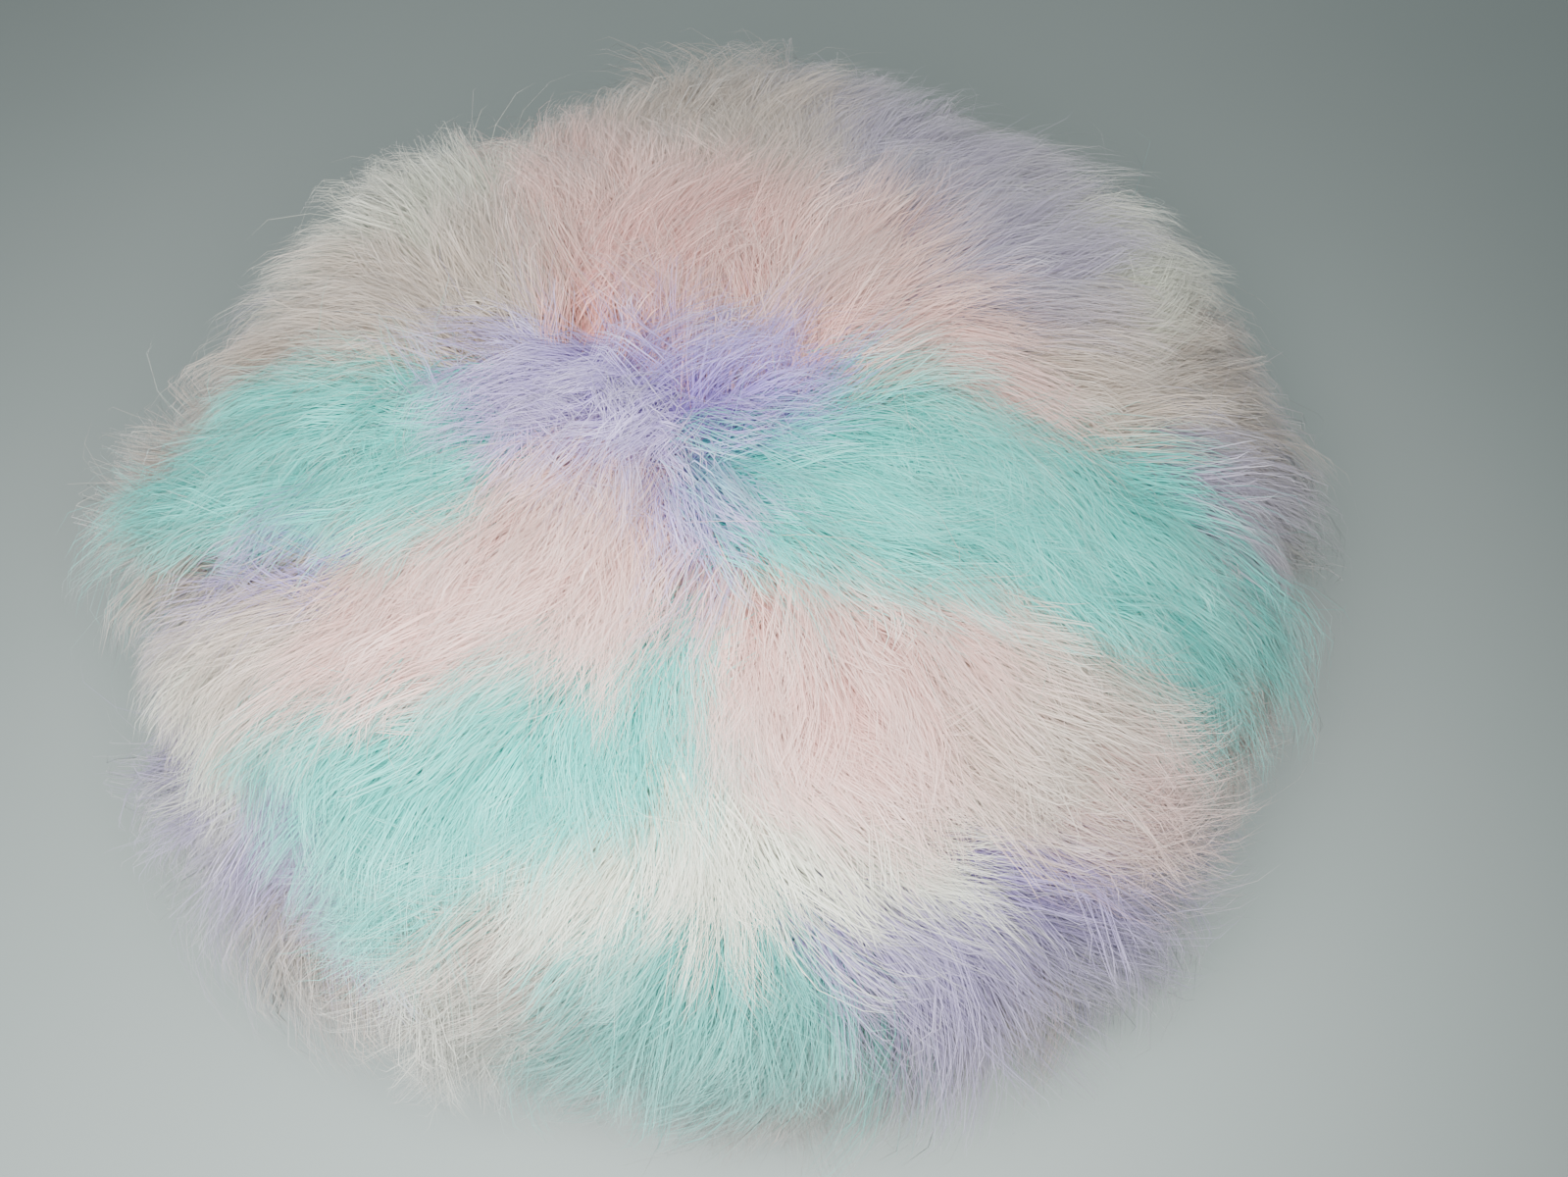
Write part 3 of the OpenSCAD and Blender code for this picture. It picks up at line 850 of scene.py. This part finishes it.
TOP_UNDER = grow(
    seed=200, count=1640, per_lock=30, span=(0.0, 1.0), rings=SHORT_RINGS, length=0.042, width=0.00070,
    lift=0.80, depth_share=0.46, fly=0.0, frosting=0.0, tuck=0.4, vary=0.03, soft=0.85)
TOP_PILE = grow(
    seed=150, count=1490, per_lock=33, span=(0.0, 1.0), rings=SHORT_RINGS, length=0.056, width=0.00042,
    lift=0.66, depth_share=0.64, fly=0.02, frosting=0.0, tuck=0.4, vary=0.06, soft=0.8)
TOP_FINE = grow(
    seed=170, count=1050, per_lock=34, span=(0.0, 1.0), rings=LONG_RINGS, length=0.062, width=0.00026,
    lift=0.66, depth_share=0.78, fly=0.04, frosting=0.04, tuck=0.42, vary=0.06, soft=0.72)
TOP_GUARD = grow(
    seed=100, count=1050, per_lock=34, span=(0.0, 1.0), rings=LONG_RINGS, length=0.068, width=0.00022,
    lift=0.62, depth_share=0.90, fly=0.10, frosting=0.10, tuck=0.46, vary=0.06, soft=0.62)
LOW_UNDER = grow(
    seed=400, count=900, per_lock=30, span=(1.0, 1.95), rings=SHORT_RINGS, length=0.036, width=0.00080,
    lift=0.70, depth_share=0.35, fly=0.0, frosting=0.0, tuck=0.5, vary=0.03, soft=0.85)
LOW_GUARD = grow(
    seed=300, count=1050, per_lock=34, span=(1.0, 1.62), rings=LONG_RINGS, length=0.064, width=0.00034,
    lift=0.60, depth_share=0.60, fly=0.06, frosting=0.05, tuck=0.6, vary=0.06, soft=0.6)
TOP_LAYERS = (("guard_hair", TOP_GUARD, FUR), ("fine_hair", TOP_FINE, FUR), ("pile", TOP_PILE, FUR),
              ("underfur", TOP_UNDER, UNDERFUR))
LOW_LAYERS = (("guard_hair", LOW_GUARD, FUR), ("underfur", LOW_UNDER, UNDERFUR))


def gore_of(az):
    return np.floor(((az - SEAM_TURN) % TAU) / (math.pi / 2)).astype(int) % 4


for part, layers in (("top", TOP_LAYERS), ("base", LOW_LAYERS)):
    for g, gore in enumerate(GORES):
        for kind, hair, material in layers:
            chosen = np.flatnonzero(gore_of(hair["az"]) == g)
            piece = build_strands(f"{kind}_{part}_{gore}", hair, chosen, material)
            place(piece, "pastel_fur", f"{part}_panel_{gore}")

# ---- The backing of each panel ----


def woven_material(name, dark, light, threads, rough, sheen, depth):
    """Plain weave: two sets of threads that cross, with a little unevenness."""
    return make_material(name, {
        "coord": ("TexCoord", {}),
        "warp": ("TexWave", {"bands_direction": "Z", "Scale": threads, "Distortion": 0.6}),
        "weft": ("TexWave", {"bands_direction": "DIAGONAL", "Scale": threads, "Distortion": 0.6}),
        "cloud": ("TexNoise", {"Scale": 40.0, "Detail": 3.0}),
        "cross": ("Math", {"operation": "MULTIPLY"}),
        "blend": ("Math", {"operation": "MULTIPLY_ADD", "1": 0.55}),
        "tone": mix_of(dark, light),
        "gloss": ("MapRange", {"To_Min": rough + 0.08, "To_Max": rough - 0.08}),
        "bump": ("Bump", {"Strength": 0.6, "Distance": depth}),
        "half": ("Math", {"operation": "MULTIPLY", "1": 0.6}),
    }, """
        coord.Object > warp.Vector
        coord.Object > weft.Vector
        coord.Object > cloud.Vector
        warp.Fac > cross.0
        weft.Fac > cross.1
        cross.Value > blend.0
        cloud.Fac > half.0
        half.Value > blend.2
        blend.Value > tone.0
        tone.2 > shader.Base Color
        blend.Value > gloss.Value
        gloss.Result > shader.Roughness
        blend.Value > bump.Height
        bump.Normal > shader.Normal
    """, Sheen_Weight=sheen)


def noise_material(name, dark, light, scale, rough, metallic, depth):
    """A surface whose tone, roughness and relief come from one noise: moulded, cast or fibrous."""
    return make_material(name, {
        "coord": ("TexCoord", {}),
        "cloud": ("TexNoise", {"Scale": scale, "Detail": 6.0, "Roughness": 0.65}),
        "tone": mix_of(dark, light),
        "gloss": ("MapRange", {"To_Min": rough[0], "To_Max": rough[1]}),
        "bump": ("Bump", {"Strength": 0.5, "Distance": depth}),
    }, """
        coord.Object > cloud.Vector
        cloud.Fac > tone.0
        cloud.Fac > gloss.Value
        cloud.Fac > bump.Height
        tone.2 > shader.Base Color
        gloss.Result > shader.Roughness
        bump.Normal > shader.Normal
    """, Metallic=metallic)


# the knitted ground of the fur, in the colour of the pile that grows there
BACK = make_material("fur_backing", {
    "tint": ("Attribute", {"attribute_name": "tint"}),
    "coord": ("TexCoord", {}),
    "knit": ("TexVoronoi", {"Scale": 420.0}),
    "vary": ("MapRange", {"To_Min": 1.05, "To_Max": 0.8}),
    "scale": ("VectorMath", {"operation": "SCALE"}),
    "gloss": ("MapRange", {"To_Min": 0.8, "To_Max": 0.95}),
    "bump": ("Bump", {"Strength": 0.7, "Distance": 0.0006, "invert": True}),
}, """
    coord.Object > knit.Vector
    knit.Distance > vary.Value
    knit.Distance > gloss.Value
    knit.Distance > bump.Height
    tint.Color > scale.0
    vary.Result > scale.Scale
    scale.Vector > shader.Base Color
    gloss.Result > shader.Roughness
    bump.Normal > shader.Normal
""", Sheen_Weight=0.2)


def panel_grid(part, gore):
    """A quarter of the cover's skin above or below the rim, open along the zip: points, faces, colour."""
    az = SEAM_TURN + gore * math.pi / 2 + np.radians(np.arange(0, 90.01, 2.0))
    if part == "top":
        s = np.concatenate([np.linspace(0.004, 0.9, 26), [0.96, 1.0]])
    else:
        s = np.concatenate([[1.0, 1.037], np.linspace(1.1, 1.996, 26)])
    grid_s, grid_az = np.meshgrid(s, az, indexing="ij")
    p = cover(grid_s.ravel(), grid_az.ravel())
    rows, cols = grid_s.shape
    faces = grid_faces(rows, cols)
    if gore == 0:
        row, at = faces[:, 0] // cols, grid_az.ravel()
        middle = (at[faces[:, 0]] + at[faces[:, 3]]) / 2
        near_rim = row == (rows - 2 if part == "top" else 0)
        faces = faces[~(near_rim & (middle > ZIP_ARC[0]) & (middle < ZIP_ARC[1]))]
    tone, _ = patch_colour(to_uv(p))
    return p, faces, tone * 0.85


for part in ("top", "base"):
    for g, gore in enumerate(GORES):
        p, faces, tone = panel_grid(part, g)
        backing = make_object(f"backing_{part}_{gore}", p, [faces], BACK, tone)
        thicken(backing, BACKING)
        place(backing, "pastel_fur", f"{part}_panel_{gore}")

# ---- Inside the cover ----

# sRGB dark and light, threads (or grain) per metre, roughness, sheen (or metal), relief
COTTON = woven_material("case_cotton", (0.80, 0.79, 0.76), (0.96, 0.95, 0.93), 260, 0.8, 0.2, 0.0002)
TAPE = woven_material("zip_tape_weave", (0.74, 0.73, 0.72), (0.93, 0.92, 0.91), 420, 0.7, 0.1, 0.0002)
RIBBON = woven_material("label_satin", (0.84, 0.83, 0.81), (0.97, 0.96, 0.95), 520, 0.45, 0.3, 0.0001)
THREAD = noise_material("sewing_thread", (0.76, 0.75, 0.72), (0.95, 0.94, 0.92), 900, (0.5, 0.8), 0, 0.0001)
FIBRE = noise_material("polyester_fibre", (0.85, 0.86, 0.87), (0.98, 0.98, 0.98), 90, (0.85, 1.0), 0, 0.004)
NYLON = noise_material("zip_nylon", (0.80, 0.79, 0.74), (0.93, 0.92, 0.89), 400, (0.3, 0.5), 0, 0.0001)
METAL = noise_material("zip_metal", (0.62, 0.62, 0.61), (0.80, 0.80, 0.79), 600, (0.22, 0.42), 1, 0.00005)
CASE_INSET, CASE_T, THREAD_IN = 0.0097, 0.0008, 0.0047
CASE_COLS = 144


def pillow_skin(inset, s, az):
    base = surface(s, az, inset)
    move = moved(CASE_MOVE, s, az)
    return base + move * 0.5 - 0.0005 * unit(base - CENTRE)


def case_half(name, node, s):
    """Half of the pillow's case, gathered a little at its seam."""
    az = SEAM_TURN + TAU * np.arange(CASE_COLS) / CASE_COLS
    grid_s, grid_az = np.meshgrid(s, az, indexing="ij")
    pucker = 0.0006 * np.sin(grid_az * 61 + 2 * np.sin(grid_az * 7)) * np.exp(-((grid_s - 1) / 0.05) ** 2)
    p = pillow_skin(CASE_INSET, grid_s.ravel(), grid_az.ravel())
    p -= pucker.ravel()[:, None] * unit(p - CENTRE)
    i, j = np.meshgrid(np.arange(len(s) - 1), np.arange(CASE_COLS), indexing="ij")
    a, b = (i * CASE_COLS + j).ravel(), (i * CASE_COLS + (j + 1) % CASE_COLS).ravel()
    half = make_object(name, p, [np.stack([a, a + CASE_COLS, b + CASE_COLS, b], -1)], COTTON)
    thicken(half, CASE_T)
    place(half, "pillow_case", node)


case_half("pillow_case_upper", "pillow_case_top", np.append(np.linspace(0.003, 0.95, 40), [0.985, 0.9975]))
case_half("pillow_case_lower", "pillow_case_base", np.append([1.0025, 1.015], np.linspace(1.05, 1.997, 40)))


def make_filling():
    body = pillow_skin(CASE_INSET + 0.0030, EACH_S, EACH_AZ)
    lumps = waves(31, 0.22)(on_plane(EACH_S, EACH_AZ))
    body -= (0.0012 * (1 + lumps))[:, None] * unit(body - CENTRE)
    p = np.concatenate([body, poles(CASE_INSET + 0.0045)])
    filling = make_object("fibre_core", p, closed_faces(), FIBRE)
    finer = filling.modifiers.new("finer", "SUBSURF")
    finer.levels = finer.render_levels = 1
    place(filling, "polyester_fibre", "fibre_filling")


make_filling()

# a stitch: where its rings are along it, how thick each is, and how far it dips into the cloth
STITCH_RINGS = ((-0.5, 0.35, 1.0), (-0.38, 0.85, 0.5), (-0.15, 1.0, 0), (0.15, 1.0, 0), (0.38, 0.85, 0.5),
                (0.5, 0.35, 1.0))
STITCH_SIDES = 6


def stitches(name, node, path, facing, size, gap, radius, slant=0.0):
    """Separate stitches along a path: short closed capsules whose ends dip into the cloth."""
    steps = np.linalg.norm(np.diff(path, axis=0), axis=-1)
    along = np.concatenate([[0], np.cumsum(steps)])
    count = int(along[-1] / (size + gap))
    mids = (np.arange(count) + 0.5) * along[-1] / count

    def follow(line, x):
        return np.stack([np.interp(x, along, line[:, k]) for k in range(3)], -1)

    centre, tangent = follow(path, mids), unit(follow(path, mids + 0.0004) - follow(path, mids - 0.0004))
    normal = unit(follow(facing, mids))
    cross = np.cross(tangent, normal)
    tangent = unit(tangent + slant * cross)
    cross = np.cross(tangent, normal)
    rings, sides = len(STITCH_RINGS), STITCH_SIDES
    verts = np.zeros((count, rings, sides, 3))
    for i, (x, fat, dip) in enumerate(STITCH_RINGS):
        for j in range(sides):
            c, q = math.cos(TAU * j / sides), math.sin(TAU * j / sides)
            verts[:, i, j] = (centre + tangent * x * size + (normal * c + cross * q) * radius * fat
                              - normal * dip * radius)
    quads = np.array([[i + j, i + (j + 1) % sides, i + sides + (j + 1) % sides, i + sides + j]
                      for i in range(0, (rings - 1) * sides, sides) for j in range(sides)])
    ends = np.array([list(range(sides))[::-1], [(rings - 1) * sides + j for j in range(sides)]])
    base = (np.arange(count) * rings * sides)[:, None, None]
    faces = [(quads + base).reshape(-1, 4), (ends + base).reshape(-1, sides)]
    place(make_object(name, verts.reshape(-1, 3), faces, THREAD), "white_thread", node)


def arc(radius, z, start, end):
    """A level arc about the cushion's axis, between two angles in degrees, and its inward direction."""
    az = np.radians(np.linspace(start, end, 400))
    path = np.stack([radius * np.cos(az), radius * np.sin(az), np.full(400, z)], -1)
    return path, np.stack([-np.cos(az), -np.sin(az), np.zeros(400)], -1)


stitches("rim_stitches", "rim_stitching", *arc(0.2302, RIM_Z, 91.7, 368.3),
         size=0.0030, gap=0.0009, radius=0.00042)
for half, up in (("upper", 1), ("lower", -1)):
    stitches(f"zip_stitches_{half}", f"zip_stitching_{half}", *arc(0.22905, RIM_Z + up * 0.012, 10.6, 89.4),
             size=0.0024, gap=0.0008, radius=0.0002)
stitches("case_stitches", "pillow_case_stitching", *arc(0.2254, RIM_Z, 245.3, 564.7),
         size=0.0022, gap=0.0007, radius=0.00035)
stitches("closing_whip_stitches", "closing_stitches", *arc(0.2254, RIM_Z, 205.3, 244.7),
         size=0.0020, gap=0.0014, radius=0.00035, slant=0.6)


def gore_seams(name, node, s):
    """The rows of stitches where the four gores meet."""
    for g in range(4):
        az = np.full(len(s), SEAM_TURN + g * math.pi / 2)
        normal, _, _ = outward(s, az)
        stitches(f"{name}_{g}" if g else name, node, surface(s, az, THREAD_IN), -normal,
                 size=0.0030, gap=0.0010, radius=0.00045)


gore_seams("top_gore_stitches", "top_gore_stitching", np.linspace(0.02, 0.985, 300))
gore_seams("base_gore_stitches", "base_gore_stitching", np.linspace(1.015, 1.97, 300))


def zip_coil(name, node, up):
    """One side's coil: a monofilament wound round the edge of its tape."""
    start, end = 13.5, 87.6                            # degrees
    middle, mid_z, out, wire = 0.2311, 0.0018, 0.00082, 0.00026
    turns, per_turn, sides = 196, 12, 5
    n = turns * per_turn
    share = np.arange(n + 1) / n
    az = np.radians(start + (end - start) * share)
    roll = TAU * turns * share
    r = middle + out * np.cos(roll)
    z = RIM_Z + up * (mid_z + out * np.sin(roll))
    path = np.stack([r * np.cos(az), r * np.sin(az), z], -1)
    along = unit(np.gradient(path, axis=0))
    core = np.stack([middle * np.cos(az), middle * np.sin(az), np.full(n + 1, RIM_Z + up * mid_z)], -1)
    away = unit(path - core)
    side = unit(np.cross(along, away))
    away = np.cross(side, along)
    verts = np.stack([path + wire * (math.cos(TAU * j / sides) * away + math.sin(TAU * j / sides) * side)
                      for j in range(sides)], 1)
    quads = [np.stack([np.arange(n) * sides + j, np.arange(n) * sides + (j + 1) % sides,
                       np.arange(1, n + 1) * sides + (j + 1) % sides, np.arange(1, n + 1) * sides + j], -1)
             for j in range(sides)]
    ends = np.array([list(range(sides))[::-1], [n * sides + j for j in range(sides)]])
    place(make_object(name, verts.reshape(-1, 3), [np.concatenate(quads), ends], NYLON), "zip_coil", node)


zip_coil("zip_spiral_upper", "zip_coil_upper", 1)
zip_coil("zip_spiral_lower", "zip_coil_lower", -1)


def care_label():
    """A blank woven tag with a hem at its free end."""
    rows, cols = 30, 12
    t = np.linspace(0, 1, rows)
    az = np.radians(np.linspace(215.2, 224.8, cols))
    r = 0.2273 - 0.0044 * t
    z = RIM_Z - 0.0036 - 0.0410 * t
    grid = np.zeros((rows, cols, 3))
    grid[..., 0], grid[..., 1] = r[:, None] * np.cos(az), r[:, None] * np.sin(az)
    grid[..., 2] = z[:, None]
    hem = (t > 0.88).astype(float)
    out = np.stack([np.cos(az), np.sin(az), np.zeros(cols)], -1)
    grid += (0.00018 * hem)[:, None, None] * out[None]
    tag = make_object("care_tag", grid.reshape(-1, 3), [grid_faces(rows, cols)], RIBBON)
    thicken(tag, 0.00035, offset=0)
    place(tag, "label_ribbon", "care_label")


care_label()

# The CAD's own zip pieces stay, with a woven or metal finish, and the metal's edges are softened
for name, finish, finish_slot, softened in (
    ("zip_tape_upper", TAPE, "zip_tape", 0), ("zip_tape_lower", TAPE, "zip_tape", 0),
    ("zip_top_stops", METAL, "zip_metal", 0.0001), ("zip_bottom_stop", METAL, "zip_metal", 0.0001),
    ("zip_slider", METAL, "zip_metal", 0.0002), ("zip_pull", METAL, "zip_metal", 0.0002),
):
    piece = NODES[name]
    piece.data.materials.clear()
    piece.data.materials.append(finish)
    if softened:
        weld = piece.modifiers.new("weld", "WELD")
        weld.merge_threshold = 0.00001
        bevel = piece.modifiers.new("edges", "BEVEL")
        bevel.width, bevel.segments, bevel.limit_method = softened, 2, "ANGLE"

# ---- Floor and light ----


FLOOR_HALF, FLOOR_POINTS, FLOOR_Z = 4, 24, -0.0005


def make_floor():
    finish = make_material("floor", {
        "coord": ("TexCoord", {}),
        "noise": ("TexNoise", {"Scale": 3.0, "Detail": 3.0}),
        "ramp": ("MapRange", {"To_Min": 0.36, "To_Max": 0.40}),
        "tone": ("VectorMath", {"operation": "SCALE", "0": (0.86, 1.0, 0.98)}),
    }, """
        coord.Object > noise.Vector
        noise.Fac > ramp.Value
        ramp.Result > tone.Scale
        tone.Vector > shader.Base Color
    """, Roughness=0.85)
    line = np.linspace(-FLOOR_HALF, FLOOR_HALF, FLOOR_POINTS)
    x, y = np.meshgrid(line, line, indexing="ij")
    p = np.stack([x.ravel(), y.ravel(), np.full(x.size, FLOOR_Z)], -1)
    make_object("floor", p, [grid_faces(FLOOR_POINTS, FLOOR_POINTS)], finish)


make_floor()


def add_light(name, kind, at, to, power, colour, **settings):
    data = bpy.data.lights.new(name, kind)
    data.energy, data.color = power, colour
    for key, value in settings.items():
        setattr(data, key, value)
    light = bpy.data.objects.new(name, data)
    light.location = at
    light.rotation_euler = (Vector(to) - Vector(at)).to_track_quat("-Z", "Y").to_euler()
    SCENE.collection.objects.link(light)


add_light("fill", "AREA", (0.5, 1.6, 1.6), (0.1, 0.1, 0.1), 7.0, (0.95, 1.0, 0.98), shape="DISK", size=1.8)
add_light("key", "SPOT", (0.02, -0.57, 0.78), (-0.19, -0.17, 0.1), 84, (1.0, 1.0, 0.98),
          shadow_soft_size=0.24, spot_size=math.radians(106), spot_blend=1.0)
world = bpy.data.worlds.new("world")
world.use_nodes = True
sky = world.node_tree.nodes["Background"].inputs
sky["Color"].default_value, sky["Strength"].default_value = (0.92, 0.98, 0.98, 1), 0.30
SCENE.world = world
